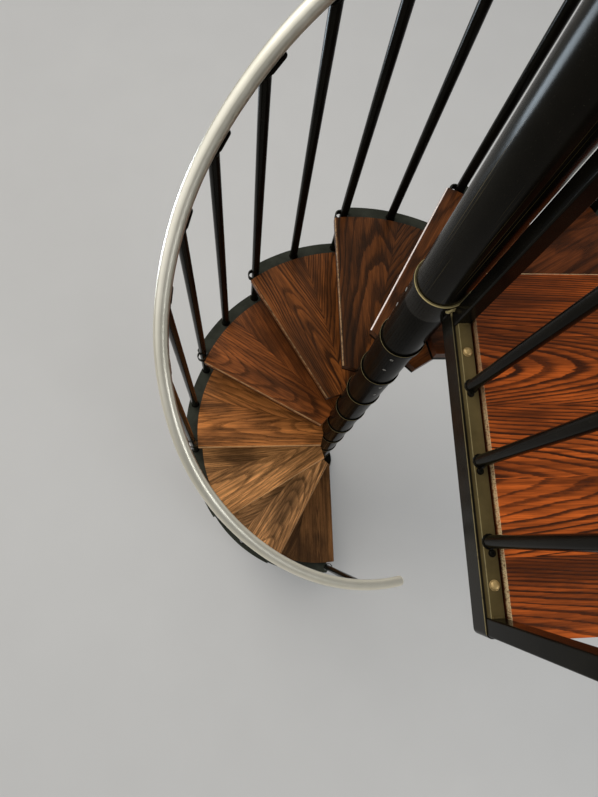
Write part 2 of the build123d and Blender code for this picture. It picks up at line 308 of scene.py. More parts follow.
# Flat-sawn oak: growth rings round an axis under the face, their porous side dark, with fibres,
# pores and stain; along has the grain in x, spacing is the width of a year
def oak_surface(p, along, tone, edge, edge_colour, deepened, share, drawn, spacing, sway):
    bend = p.math("SUBTRACT", p.grain(along, *BEND), 0.5)
    feather = p.grain(along, *FEATHER)
    wobble = p.grain(along, *WOBBLE)
    fibres = p.grain(along, *FIBRES)
    pores = p.grain(along, *PORES)
    streak = p.grain(along, *STREAK)
    cloud = p.grain(along, *CLOUD)
    x, y, z = p.split(along)[:3]
    across = p.scaled(bend, sway, y)
    depth = p.scaled(bend, sway, p.scaled(x, LOG_TILT, z))
    turns = p.math("DIVIDE", p.vector("LENGTH", p.join(0.0, across, depth)), spacing)
    turns = p.scaled(feather, FEATHER_SHIFT, p.scaled(wobble, WOBBLE_SHIFT, turns))
    ring = p.math("FRACT", turns)
    chance = p.add("ShaderNodeTexWhiteNoise", {"W": p.math("FLOOR", turns)},
                   noise_dimensions="1D")
    year = p.split(chance.outputs["Color"])
    width = p.scaled(year[0], *EARLY_SHARE)
    late = p.band(p.math("DIVIDE", ring, width), *EARLY_END)
    early = p.product(p.band(ring, *EARLY_START), p.math("SUBTRACT", 1.0, late))
    weight = p.scaled(year[1], *(level * drawn for level in EARLY_DRAWN))
    line = p.math("MULTIPLY", early, weight, clamp=True)
    dark, mid, light = tone
    deep = tuple(c * DEEP for c in dark[:3]) + (1.0,)
    body = p.scaled(p.band(ring, *LATE_YEAR), LATE_WEIGHT, p.scaled(fibres, *FIBRE_TONE))
    wood = p.blend(body, mid, light)
    factors = [
        p.band(streak, *STREAK_TONE),
        p.band(cloud, *CLOUD_TONE),
        p.band(feather, *FEATHER_TONE),
        share,
    ]
    for factor in factors:
        wood = p.blend(1.0, wood, p.join(factor, factor, factor), "MULTIPLY")
    wood = p.blend(line, wood, dark)
    hole = p.product(p.band(pores, *PORES_OPEN), p.scaled(early, *PORES_SHARE))
    wood = p.blend(hole, wood, deep)
    # Glue seams darken, and on the deck a painted shade low on the side faces
    wood = p.blend(p.product(deepened, DEEPENED_WEIGHT), wood, deep)
    # The edge's colour: worn bare wood, and on the treads' nosings partly a painted highlight
    wood = p.blend(edge, wood, edge_colour)
    rough = p.scaled(fibres, FIBRES_ROUGH, p.scaled(hole, PORES_ROUGH, OAK_ROUGH))
    rough = p.scaled(edge, EDGE_ROUGH, rough)
    relief = p.math("SUBTRACT", p.product(fibres, FIBRES_UP), p.scaled(early, EARLY_DOWN, hole))
    normal = p.bump(relief, *OAK_RELIEF)
    return p.finish(Base_Color=wood, Roughness=rough, Normal=normal, **OAK_GLOSS)


# Noise that breaks up a light edge, worn and partly a painted highlight: scale, detail and
# roughness, and where it breaks
EDGE_NOISE = (85.0, 3.0, 0.65)
EDGE_NOISE_BREAK = (0.36, 0.58)
EDGE_NOISE_LEAST = 0.85


# Light places along an edge, broken up along it: stain worn off, and on the treads' nosings partly
# a painted highlight
def light_edge(p, mask, strength):
    chip = p.noise(p.place, *EDGE_NOISE)
    return p.product(mask, p.band(chip, *EDGE_NOISE_BREAK, EDGE_NOISE_LEAST * strength ** 3, strength))


MIDDLE_TONE = 1.05
LIGHT_TONE = 1.9


# Dark, middle and light tone of stained oak about one colour
def oak_tones(r, g, b, deepest=0.2):
    shares = (deepest, MIDDLE_TONE, LIGHT_TONE)
    return [tuple(c * share for c in rgb(r, g, b)[:3]) + (1.0,) for share in shares]


# Each tread: its colour, partly stain and partly painted light and shade, lighter on the second to
# fourth treads and darker on the first and the top ones; how light its back stave comes out,
# partly painted shade; how strongly the grain is drawn; and how bright the nosing's arris is,
# partly worn and partly a painted highlight
TREAD_LOOKS = {
    1: ((90, 58, 30), 0.72, 0.6, 0.2),
    2: ((162, 114, 70), 0.7, 0.6, 0.3),
    3: ((163, 112, 65), 0.78, 0.4, 0.6),
    4: ((139, 84, 40), 0.68, 0.45, 0.9),
    5: ((113, 60, 24), 0.62, 0.7, 0.65),
    6: ((88, 47, 17), 1.25, 0.9, 0.35),
    7: ((69, 36, 12), 0.8, 0.95, 0.5),
    8: ((72, 38, 15), 1.0, 0.7, 1.0),
    9: ((70, 33, 11), 1.0, 0.6, 0.4),
}
# Width of a year on the first tread, less one step, what each tread adds, and the last to add
TREAD_YEAR = 0.0035
TREAD_YEAR_STEP = 0.0003
TREAD_YEAR_LAST = 6
SEAM = (0.0016, 0.0004)
# Light arris of a nosing, partly worn bare wood and partly a painted highlight: how far below the
# top and from the front it starts and is whole, and its colour; the eighth tread's is painted
# whiter, with a crisper edge
WHITEST_NOSING = 8
ARRIS_DROP = (-0.0055, -0.0030)
ARRIS = (0.0048, 0.0026)
WHITEST_NOSING_ARRIS = (0.0044, 0.0030)
NOSING_COLOUR = (206, 164, 114)
WHITEST_NOSING_COLOUR = (246, 230, 220)
# What chance adds to each stave: its place along the log, its heart's offset and its depth
LOT_ALONG = (-9, 9)
LOT_ASIDE = (-0.06, 0.06)
LOT_DEPTH = (0.012, 0.035)


# Board of two staves glued on its bisector, one along the front edge and one along the back
def tread_oak(n):
    # Its colour and its back stave's tone: stain, partly painted light and shade
    colour, back_share, drawn, nosing_light = TREAD_LOOKS[n]
    p = Paint("oak_tread_%02d" % n)
    front = p.turn(p.place, -front_azimuth(n))
    back = p.turn(p.place, STEP - front_azimuth(n))
    to_front = p.math("SUBTRACT", FRONT_LEAD, p.split(front)[1])
    to_back = p.math("ADD", p.split(back)[1], BACK_LAP)
    side = p.math("SUBTRACT", to_front, to_back)
    stave = p.math("GREATER_THAN", side, 0.0)
    staves = []
    for turned_to in (front, back):
        shift = (rng.uniform(*LOT_ALONG), rng.uniform(*LOT_ASIDE),
                 rng.uniform(*LOT_DEPTH) - RISER * n)
        staves.append(p.vector("ADD", turned_to, shift))
    along = p.pick(stave, *staves)
    share = p.band(stave, 0.0, 1.0, 1.0, back_share, smooth=False)
    deepened = p.band(p.math("ABSOLUTE", side), *SEAM)
    arris = p.near(p.split(p.place)[2], RISER * n, *ARRIS_DROP)
    # Light arris of the nosing: worn, and partly a painted highlight
    arris = p.product(arris, p.band(to_front, *WHITEST_NOSING_ARRIS if n == WHITEST_NOSING else ARRIS))
    edge = light_edge(p, arris, nosing_light)
    edge_colour = rgb(*WHITEST_NOSING_COLOUR if n == WHITEST_NOSING else NOSING_COLOUR)
    year = TREAD_YEAR + TREAD_YEAR_STEP * min(n, TREAD_YEAR_LAST)
    return oak_surface(p, along, oak_tones(*colour), edge, edge_colour, deepened, share, drawn, year, TREAD_SWAY)


# The deck's staves, south to north: place along the log, heart's offset and depth, all 0 to 1
DECK_LOTS = (
    (0.5, 0.96, 0.5),
    (0.9, 0.02, 0.7),
    (0.62, 0.98, 0.4),
    (0.35, 0.48, 0.3),
    (0.2, 0.90, 0.9),
)
STAVE_W = 0.124
STAVES_SOUTH = 0.602
DECK_STAIN = (124, 56, 16)
DECK_DEEPEST = 0.18
DECK_BARE = (232, 208, 158)
DECK_DRAWN = 1.15
DECK_NOSING_WORN = 0.7
DECK_NOSING = (0.0140, 0.0168)
# From a stave's lot: metres along the log, offset of the heart, depth, and the tone's share
DECK_ALONG = 9.0
DECK_ASIDE = (0.2, -0.1)
DECK_DEPTH = (0.03, 0.01)
DECK_SHARE = (0.30, 0.80)
# Glue seam, in staves from the stave's middle, and painted shade, which darkens the side faces'
# lower part and the underside from this far below the top
DECK_SEAM = (0.492, 0.498)
DECK_PAINTED_SHADE = (-0.010, -0.014)
# Width of a year over a stave's heart, and what it gains towards a stave cut at the log's side
DECK_YEAR = 0.0020
DECK_YEAR_ASIDE = 0.0013
# Rough west edge: the saw's noise, how far it moves the edge inwards and down, where the edge
# starts and is whole, how it grows southwards, and how the noise breaks it
SAW_MARKS = (120.0, 420.0, 120.0)
SAW_DETAIL = (3.0, 0.7)
SAW_IN = 0.006
SAW_DOWN = 0.012
WEST_IN = (0.0046, 0.0032)
WEST_DROP = (-0.0105, -0.003)
WEST_RUN = (0.0, -0.45, 0.28, 0.95)
WEST_BREAK = (0.36, 0.6, 0.12, 1.0)


# Panel of staves glued edge to edge, grain along x, its west edge left rough from the saw
def deck_oak():
    p = Paint("oak_deck")
    x, y, z = p.split(p.place)[:3]
    row = p.math("DIVIDE", p.math("ADD", y, STAVES_SOUTH), STAVE_W)
    inside = p.math("SUBTRACT", p.math("FRACT", row), 0.5)
    stops = [(i / len(DECK_LOTS), lot + (1.0,)) for i, lot in enumerate(DECK_LOTS)]
    lot = p.split(p.ramp(p.math("DIVIDE", row, len(DECK_LOTS)), *stops, steps=True))
    across = p.math("ADD", p.product(inside, STAVE_W), p.scaled(lot[1], *DECK_ASIDE))
    depth = p.math("ADD", p.math("SUBTRACT", z, LANDING_Z), p.scaled(lot[2], *DECK_DEPTH))
    along = p.join(p.scaled(lot[0], DECK_ALONG, x), across, depth)
    deepened = p.band(p.math("ABSOLUTE", inside), *DECK_SEAM)
    # Painted shade: the deck darkens low on its side faces and underneath
    deepened = p.math("MAXIMUM", deepened, p.near(z, LANDING_Z, *DECK_PAINTED_SHADE))
    saw = p.noise(p.vector("MULTIPLY", p.place, SAW_MARKS), 1.0, *SAW_DETAIL)
    west = p.product(
        p.near(p.scaled(saw, SAW_IN, x), DECK_X, *WEST_IN),
        p.near(p.scaled(saw, SAW_DOWN, z), LANDING_Z, *WEST_DROP),
        p.band(y, *WEST_RUN),
        p.band(saw, *WEST_BREAK),
    )
    edge = p.math("MAXIMUM", west, light_edge(p, p.band(y, *DECK_NOSING), DECK_NOSING_WORN))
    share = p.scaled(lot[0], *DECK_SHARE)
    aside = p.math("ABSOLUTE", p.scaled(lot[1], 2.0, -1.0))
    year = p.scaled(aside, DECK_YEAR_ASIDE, DECK_YEAR)
    tone = oak_tones(*DECK_STAIN, DECK_DEEPEST)
    return oak_surface(p, along, tone, edge, rgb(*DECK_BARE), deepened, share, DECK_DRAWN, year,
                       DECK_SWAY)


# Black paint: its noises as scale, detail and roughness, its two tones, and what shows in it
PAINT_CLOUD = (11.0, 4.0, 0.6)
GRIT = (520.0, 2.0, 0.5)
PEEL = (150.0, 1.0, 0.5)
CHIPS = (130.0, 3.0, 0.65)
RIM_SHEEN_NOISE = (16.0, 4.0, 0.65)
PAINT_TONES = ((7, 6, 4), (17, 15, 10))
GRIT_COLOUR = (86, 80, 64)
SCRATCH_COLOUR = (140, 122, 80)
RIM_SHEEN_COLOUR = (58, 60, 52)
RUBBED_AND_HIGHLIT_STEEL = (176, 160, 112)
# Warm tint of the paint's reflections: a painted reflection colour, standing in for warm
# surroundings
WARM_REFLECTION_TINT = (1.0, 0.93, 0.8, 1.0)
# Where grit shows and how much, and how chips break a rubbed place, which is partly a painted
# highlight
GRIT_SEEN = (0.66, 0.78)
GRIT_WEIGHT = 0.2
CHIPS_BREAK = (0.25, 0.55, 0.4, 1.0)
# Roughness: what the cloud adds, its base, and what rubbing takes off; relief of peel and grit
PAINT_ROUGH = (0.12, 0.14)
RUBBED_ROUGH = -0.06
PEEL_UP = 0.6
GRIT_UP = 0.25
PAINT_RELIEF = (0.00012, 0.35)


# Satin black paint over a rolled surface, with fine dust and faint scratches along the tube; on
# the rims a painted reflection greys the faces that look up
def black_steel(name, wear_and_highlight=None, tones=PAINT_TONES, scratch=0.0, sheen_on_rims=False, gloss=0.06):
    p = Paint(name)
    cloud = p.noise(p.place, *PAINT_CLOUD)
    grit = p.noise(p.place, *GRIT)
    peel = p.noise(p.place, *PEEL)
    paint = clouded(p, cloud, *tones)
    specks = p.product(p.band(grit, *GRIT_SEEN), GRIT_WEIGHT)
    paint = p.blend(specks, paint, rgb(*GRIT_COLOUR))
    rough = p.scaled(cloud, *PAINT_ROUGH)
    if scratch:
        paint = p.blend(scratches(p, scratch), paint, rgb(*SCRATCH_COLOUR))
    # Painted reflection of the light from above on the rims' upward faces
    if sheen_on_rims:
        paint = p.blend(painted_rim_sheen(p), paint, rgb(*RIM_SHEEN_COLOUR))
    # Rubbed places, partly wear and partly a painted highlight
    if wear_and_highlight:
        chip = p.noise(p.place, *CHIPS)
        mask = p.math("MULTIPLY", wear_and_highlight(p), p.band(chip, *CHIPS_BREAK), clamp=True)
        paint = p.blend(mask, paint, rgb(*RUBBED_AND_HIGHLIT_STEEL))
        rough = p.scaled(mask, RUBBED_ROUGH, rough)
    relief = p.scaled(peel, PEEL_UP, p.product(grit, GRIT_UP))
    return p.finish(
        Base_Color=paint,
        Roughness=rough,
        Normal=p.bump(relief, *PAINT_RELIEF),
        Specular_IOR_Level=gloss,
        Specular_Tint=WARM_REFLECTION_TINT,
    )


# Scratches: the scales round and up the tube of the noise that draws them and of the one that
# breaks them, how thin they are, and where they break
SCRATCH_LINES = (7.0, 0.25)
SCRATCH_KEEP = (1.6, 2.5)
KEEP_PLACE = 4.0
SCRATCH_THIN = (0.020, 0.006)
SCRATCH_BREAK = (0.50, 0.66)


# Thin broken lines up a tube on the pole's axis
def scratches(p, strength):
    x, y, z = p.split(p.place)[:3]
    azimuth = p.math("ARCTAN2", y, x)
    round_up = [(p.product(azimuth, a), p.product(z, b)) for a, b in (SCRATCH_LINES, SCRATCH_KEEP)]
    lines = p.noise(p.join(*round_up[0], 0.0), 1.0, 0.0, 0.5)
    keep = p.noise(p.join(*round_up[1], KEEP_PLACE), 1.0, 2.0, 0.6)
    thin = p.band(p.math("ABSOLUTE", p.math("SUBTRACT", lines, 0.5)), *SCRATCH_THIN)
    return p.product(thin, p.band(keep, *SCRATCH_BREAK, 0.0, strength))


# The painted reflection lies where a face looks up and far enough out, in patches
RIM_SHEEN_UP = (0.7, 0.95)
RIM_SHEEN_OUT = (0.2, 0.5)
RIM_SHEEN_PATCHES = (0.3, 0.7, 0.55, 0.95)


# Painted reflection of light from above, which greys the rims outside the boards on the faces that
# look up
def painted_rim_sheen(p):
    radius = p.spot()[3]
    up = p.split(p.add("ShaderNodeNewGeometry").outputs["Normal"])[2]
    patchy = p.noise(p.place, *RIM_SHEEN_NOISE)
    mask = p.product(p.band(up, *RIM_SHEEN_UP), p.band(radius, *RIM_SHEEN_OUT))
    return p.product(mask, p.band(patchy, *RIM_SHEEN_PATCHES))


# Rubbed places of the hub, the beam and the bar, partly painted highlights: where they start and
# are whole, from an edge, and the two levels there
RING_IN = (-0.0012, 0.0004)
RING_OUT = (0.0012, 0.0006)
RING_SEAT = SEAT_DROP + 0.0004
RING_TOP = (-0.0020, -0.0006)
RING_LEVEL = 0.45
FLIGHT_TOP = LANDING_Z - 0.1
TOP_ARRIS = (-0.0016, -0.0008)
HUB_ARRIS = (-0.0018, -0.0008, 0.35, 1.6)
HUB_RUN = (0.01, -0.045, 0.35, 1.0)
BEAM_ARRIS = (0.0014, 0.0006)
BEAM_PAST_RING = (0.0005, 0.0015)
BEAM_RUN = (-0.08, -0.5, 0.25, 0.5)
PATCH_DROP = (-0.0040, -0.0010)
PATCH_OUT = (0.0110, 0.0030)
PATCH_EAST = (0.0060, 0.0020)
PATCH_SOUTH = (-0.02, -0.03)
PATCH_PAST_RING = (0.0002, 0.0006)
BEAD_DROP = (-0.006, 0.0)
BEAD_EAST = (0.036, 0.026)
BAR_ARRIS_X = (0.0243, 0.0237)
BAR_ARRIS = (-0.0014, -0.0008)
BAR_LEVEL = 0.4


# Top of each hub ring, rubbed by the boards and partly a painted highlight, and of the landing's
# ring, which is painted brighter
def ring_wear_and_highlight(p):
    y, z, radius = p.spot()[1:]
    inside = p.product(p.near(radius, SLEEVE_R, *RING_IN), p.near(radius, RING_R, *RING_OUT))
    over = p.math("MODULO", p.math("ADD", z, RING_SEAT), RISER)
    below = p.math("LESS_THAN", z, FLIGHT_TOP)
    flight = p.product(p.near(over, RISER, *RING_TOP), RING_LEVEL, below)
    landing = p.product(
        p.near(z, LANDING_Z, *TOP_ARRIS),
        p.near(radius, RING_R, *HUB_ARRIS),
        p.band(y, *HUB_RUN),
    )
    return p.product(inside, p.math("MAXIMUM", flight, landing))


# Arris of the landing's west beam, brighter southwards, and the bared patch by the hub's ring;
# both partly wear and partly a painted highlight
def beam_wear_and_highlight(p):
    x, y, z, radius = p.spot()
    arris = p.product(
        p.near(z, BEAM_TOP, *TOP_ARRIS),
        p.near(x, BEAM_X, *BEAM_ARRIS),
        p.near(radius, RING_R, *BEAM_PAST_RING),
        p.band(y, *BEAM_RUN),
    )
    patch = p.product(
        p.product(p.near(z, BEAM_TOP, *PATCH_DROP), p.near(radius, RING_R, *PATCH_OUT)),
        p.product(p.near(x, BEAM_X, *PATCH_EAST), p.band(y, *PATCH_SOUTH)),
        p.near(radius, RING_R, *PATCH_PAST_RING),
    )
    return p.math("MAXIMUM", ring_wear_and_highlight(p), p.math("MAXIMUM", arris, patch))


# Upper part of the beads at the landing's hub, made lighter: partly wear, partly a painted
# highlight
def hub_wear_and_highlight(p):
    x, _, z = p.split(p.place)[:3]
    return p.product(p.near(z, BEAM_TOP, *BEAD_DROP), p.band(x, *BEAD_EAST))


# Upper arris of the guard's bottom bar, made lighter: partly wear, partly a painted highlight
def bar_wear_and_highlight(p):
    x, _, z = p.split(p.place)[:3]
    return p.product(p.band(x, *BAR_ARRIS_X), p.near(z, BAR_TOP, *BAR_ARRIS), BAR_LEVEL)


ZINC_CLOUD = (140.0, 3.0, 0.6)
ZINC_ROUGH = (0.25, 0.22)
ZINC_RELIEF = (0.00008, 0.4)


# Bare metal: zinc on the fasteners, bright or yellowed
def plated(name, low, high, metallic):
    p = Paint(name)
    cloud = p.noise(p.place, *ZINC_CLOUD)
    return p.finish(
        Base_Color=clouded(p, cloud, low, high),
        Metallic=metallic,
        Roughness=p.scaled(cloud, *ZINC_ROUGH),
        Normal=p.bump(cloud, *ZINC_RELIEF),
    )


# The rail's two tones: aluminium, whose warm tint is partly a painted warm reflection
RAIL_TONES = ((236, 229, 208), (252, 245, 226))
RAIL_CLOUD = (6.0, 3.0, 0.5)
SMUDGE = (38.0, 3.0, 0.6)
SMUDGE_SEEN = (0.4, 0.7)
BRUSH = (1.0, 3.0, 0.65)
BRUSH_TONE = 0.12
CLOUD_WEIGHT = 0.88
RAIL_RELIEF = (0.00002, 0.1)
RAIL_ROUGH = 0.27
SMUDGE_ROUGH = 0.05
BRUSH_ROUGH = 0.05
BRUSH_ALONG = 3.0
BRUSH_ACROSS = 300.0
TURN_RISE = RISER * 12 / math.tau


# Brushed aluminium, the brushing drawn along the flight or, in a straight rail, along y
def rail_metal(name, straight=False):
    p = Paint(name)
    x, y, z = p.split(p.place)[:3]
    if straight:
        run, aside, above = y, x, z
    else:
        run, aside = z, p.radius(x, y)
        above = p.scaled(p.math("ARCTAN2", y, x), TURN_RISE, z)
    lines = p.join(p.product(run, BRUSH_ALONG), p.product(aside, BRUSH_ACROSS),
                   p.product(above, BRUSH_ACROSS))
    brush = p.noise(lines, *BRUSH)
    cloud = p.noise(p.place, *RAIL_CLOUD)
    smudge = p.noise(p.place, *SMUDGE)
    rough = p.scaled(p.band(smudge, *SMUDGE_SEEN), SMUDGE_ROUGH, RAIL_ROUGH)
    rough = p.scaled(brush, BRUSH_ROUGH, rough)
    tone = p.scaled(brush, BRUSH_TONE, p.product(cloud, CLOUD_WEIGHT))
    return p.finish(
        Base_Color=clouded(p, tone, *RAIL_TONES),
        Metallic=1.0,
        Roughness=rough,
        Normal=p.bump(brush, *RAIL_RELIEF),
    )


steel = black_steel("steel")
column_steel = black_steel("column_steel", ring_wear_and_highlight, sheen_on_rims=True, gloss=0.02)
newel_steel = black_steel("newel_steel", scratch=0.36, gloss=0.07)
beam_steel = black_steel("beam_steel", beam_wear_and_highlight, ((14, 12, 9), (30, 27, 21)))
# The bottom bar gets lighter olive tones than the other black steel: painted light, for the light
# its top catches
lit_bar_steel = black_steel("lit_bar_steel", bar_wear_and_highlight, ((64, 54, 31), (88, 75, 46)))
stair_rail = rail_metal("stair_rail")
guard_rail = rail_metal("guard_rail", straight=True)
yellow_zinc = plated("yellow_zinc", (138, 112, 66), (176, 148, 96), 0.5)
bright_zinc = plated("bright_zinc", (132, 130, 122), (186, 184, 176), 0.85)


def dress(material, *names):
    for name in names:
        for socket in nodes[name].material_slots:
            socket.material = material


dress(steel, *nodes)
for n in range(1, TREADS + 1):
    dress(column_steel, "tread_frame_%02d" % n)
    dress(tread_oak(n), "tread_board_%02d" % n)
dress(column_steel, "base_sleeve")
dress(newel_steel, "newel_sleeve")
dress(beam_steel, "landing_frame")
dress(lit_bar_steel, "guard_bottom_bar")
dress(stair_rail, "handrail_lower", "handrail_middle", "handrail_upper", "rail_plugs")
dress(guard_rail, "guard_handrail")
dress(deck_oak(), "landing_deck")


# Mesh helpers: a skin over loops of points, shapes turned about an axis, and weld beads
def skin(bm, loops, closed=False):
    rows = [[bm.verts.new(point) for point in loop] for loop in loops]
    if closed:
        rows.append(rows[0])
    for low, high in zip(rows, rows[1:]):
        for i, corner in enumerate(low):
            j = (i + 1) % len(low)
            bm.faces.new((corner, low[j], high[j], high[i]))
    if not closed:
        bm.faces.new(rows[0][::-1])
        bm.faces.new(rows[-1])


def facing(place, up):
    turn = Vector(up).to_track_quat("Z", "Y").to_matrix().to_4x4()
    return Matrix.Translation(place) @ turn


SCREW_SIDES = 24


# Profile of (radius, height) or (radius, height, "hex"), from its outer foot to its middle
def turned(bm, at, profile, sides=SCREW_SIDES):
    loops = []
    for radius, height, *kind in profile:
        loop = []
        for i in range(sides):
            a = math.tau * i / sides
            reach = radius
            if kind:
                reach *= math.cos(math.pi / 6) / math.cos(a % (math.pi / 3) - math.pi / 6)
            loop.append(at @ Vector((reach * math.cos(a), reach * math.sin(a), height)))
        loops.append(loop)
    skin(bm, loops)


# Ripple of a bead from point to point, what chance adds to it, the size of an open end, and the
# rise from which a path counts as upright
BEAD_SIDES = 8
BEAD_RIPPLE = 0.16
BEAD_PHASE = 2.1
BEAD_CHANCE = 0.07
BEAD_END = 0.4
STEEP = 0.9


# Rippled bead laid along a path; the last point joins the first in a closed one
def bead(bm, path, thick, closed=False):
    loops = []
    for i, point in enumerate(path):
        before = path[i - 1] if closed or i else point
        after = path[(i + 1) % len(path)] if closed or i < len(path) - 1 else point
        way = (after - before).normalized()
        side = way.orthogonal() if abs(way.z) > STEEP else way.cross(UP).normalized()
        other = way.cross(side)
        r = thick * (1 + BEAD_RIPPLE * math.sin(i * BEAD_PHASE)
                     + rng.uniform(-BEAD_CHANCE, BEAD_CHANCE))
        if not closed and i in (0, len(path) - 1):
            r *= BEAD_END
        angles = [math.tau * k / BEAD_SIDES for k in range(BEAD_SIDES)]
        loops.append([point + (side * math.cos(b) + other * math.sin(b)) * r for b in angles])
    skin(bm, loops, closed)


COLLAR_POINTS = 40


# Bead round the place where a round bar, leaning along lean, meets the plane at centre
def collar(bm, centre, lean, normal, radius, thick):
    u = lean.orthogonal().normalized()
    v = lean.cross(u)
    path = []
    for i in range(COLLAR_POINTS):
        a = math.tau * i / COLLAR_POINTS
        spoke = (u * math.cos(a) + v * math.sin(a)) * radius
        path.append(centre + spoke - lean * (spoke.dot(normal) / lean.dot(normal)))
    bead(bm, path, thick, closed=True)


SHARP = 32


# Finished mesh from its faces, riding on the stair; edges above the angle stay sharp
def piece(name, bm, material, sharp=SHARP):
    bmesh.ops.recalc_face_normals(bm, faces=bm.faces)
    mesh = bpy.data.meshes.new(name)
    bm.to_mesh(mesh)
    bm.free()
    mesh.shade_smooth()
    mesh.set_sharp_from_angle(angle=math.radians(sharp))
    mesh.materials.append(material)
    thing = show(bpy.data.objects.new(name, mesh))
    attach(thing, "root")
    return thing


# Profiles of the fasteners and of the rail's plug, for turned()
SET_SCREW = ((0.0042, -0.002), (0.0042, 0.0002), (0.0036, 0.0008), (0.0024, 0.0008, "hex"),
             (0.0022, -0.0014, "hex"))
PAN_HEAD = ((0.0086, 0.0), (0.0086, 0.0008), (0.0078, 0.0010), (0.0078, 0.0022),
            (0.0070, 0.0036), (0.0054, 0.0046), (0.0030, 0.0052), (0.0012, 0.0053))
FOOT_SCREW = ((0.0062, 0.0), (0.0062, 0.0010), (0.0050, 0.0012), (0.0048, 0.0026),
              (0.0038, 0.0034), (0.0022, 0.0034, "hex"), (0.0020, 0.0018, "hex"))
ANCHOR = ((0.0120, 0.0), (0.0120, 0.0020), (0.0114, 0.0025), (0.0104, 0.0025, "hex"),
          (0.0104, 0.0086, "hex"), (0.0088, 0.0100), (0.0030, 0.0100))
TAB_SCREW = ((0.0040, 0.0), (0.0040, 0.0006), (0.0034, 0.0012), (0.0020, 0.0012, "hex"),
             (0.0018, 0.0004, "hex"))
PLUG = ((0.0185, 0.0), (0.0183, 0.0006), (0.0176, 0.0009), (0.0176, 0.0013), (0.0181, 0.0016),
        (0.0179, 0.0026), (0.0168, 0.0034), (0.0120, 0.0038), (0.0060, 0.0040),
        (0.0020, 0.0040))

# Socket set screws in the sleeves' sides, two in each: turn from the tread's front, and heights
# as shares of a riser; the top sleeve has its own
SCREW_TURN = 187
SCREW_SHARES = (0.48, 0.81)
TOP_SCREW_AZIMUTH = 157
TOP_SCREW_SHARES = (0.56, 0.87)
BASE_SCREW_AZIMUTHS = (60, 240)
BASE_SCREW_Z = 0.09
bm = bmesh.new()
for n in range(1, TREADS + 1):
    azimuth = TOP_SCREW_AZIMUTH if n == TREADS else front_azimuth(n) + SCREW_TURN
    for share in TOP_SCREW_SHARES if n == TREADS else SCREW_SHARES:
        z = RISER * (n + share) - SEAT_DROP
        turned(bm, facing(polar(SLEEVE_R, azimuth, z), polar(1, azimuth, 0)), SET_SCREW)
for azimuth in BASE_SCREW_AZIMUTHS:
    turned(bm, facing(polar(SLEEVE_R, azimuth, BASE_SCREW_Z), polar(1, azimuth, 0)), SET_SCREW)
piece("set_screws", bm, bright_zinc)

# Pan bolts through the guard's bottom bar
BAR_BOLTS_Y = (-0.131, -0.519)
PAN_SIDES = 32
bm = bmesh.new()
for y in BAR_BOLTS_Y:
    turned(bm, facing((GUARD_X, y, BAR_TOP), UP), PAN_HEAD, PAN_SIDES)
piece("bar_bolts", bm, yellow_zinc)

# Small screws at the feet of the guard's balusters: x, and distance south of the baluster
FOOT_SCREW_PLACES = ((0.031, 0.0135), (0.032, 0.0165), (0.036, 0.0180))
bm = bmesh.new()
for (x, reach), y in zip(FOOT_SCREW_PLACES, GUARD_FEET_Y):
    turned(bm, facing((x, y - reach, BAR_TOP), UP), FOOT_SCREW)
piece("foot_screws", bm, steel)

# Hexagon anchor bolts with washers in the base plate
ANCHOR_FROM = 45
ANCHOR_SIDES = 36
bm = bmesh.new()
for k in range(BASE_BOLTS):
    azimuth = ANCHOR_FROM + 360 / BASE_BOLTS * k
    turned(bm, facing(polar(BASE_BOLT_RING, azimuth, BASE_T), UP), ANCHOR, ANCHOR_SIDES)
piece("anchor_bolts", bm, bright_zinc)


WAY_STEP = 0.2


# The handrail's centre, as in the CAD source
def rail_point(azimuth):
    opening = max(azimuth - FLARE_FROM, 0) / (RAIL_START - FLARE_FROM)
    z = LANDING_Z - RISER * azimuth / STEP + RAIL_UP
    return polar(RAIL_R + FLARE_OUT * opening ** 2, azimuth, z)


# Its direction, up the flight
def rail_way(azimuth):
    return (rail_point(azimuth - WAY_STEP) - rail_point(azimuth + WAY_STEP)).normalized()


# Beads round the balusters' heads and feet, and the tabs' screws
BEAD_CLEAR = 0.0006
HEAD_BEAD = 0.0022
FOOT_BEAD = 0.0020
TAB_SCREW_REACH = 0.026
beads = bmesh.new()
screws = bmesh.new()
for k in range(2 * TREADS + 1):
    azimuth = STEP * TREADS + BAL_LEAD - k * BAL_PITCH
    n = k // 2 + 1
    plate = RISER * n - BOARD_T
    foot = plate if k % 2 else (RISER * (n - 1) - BOARD_T if n > 1 else 0.0)
    top = rail_point(azimuth)
    held = polar(BAL_RING_R, azimuth, plate)
    lean = (top - held).normalized()
    way = rail_way(azimuth)
    up = way.cross(polar(1, azimuth, 0)).normalized()
    up = -up if up.z < 0 else up
    head = top - lean * (TAB_DROP / lean.dot(up))
    collar(beads, head, lean, up, BAL_R + BEAD_CLEAR, HEAD_BEAD)
    if foot > 0:
        stands = held - lean * ((plate - foot) / lean.z)
        collar(beads, stands, lean, UP, BAL_R + BEAD_CLEAR, FOOT_BEAD)
    turned(screws, facing(top - up * TAB_DROP + way * TAB_SCREW_REACH, -up), TAB_SCREW)
piece("tab_screws", screws, bright_zinc)

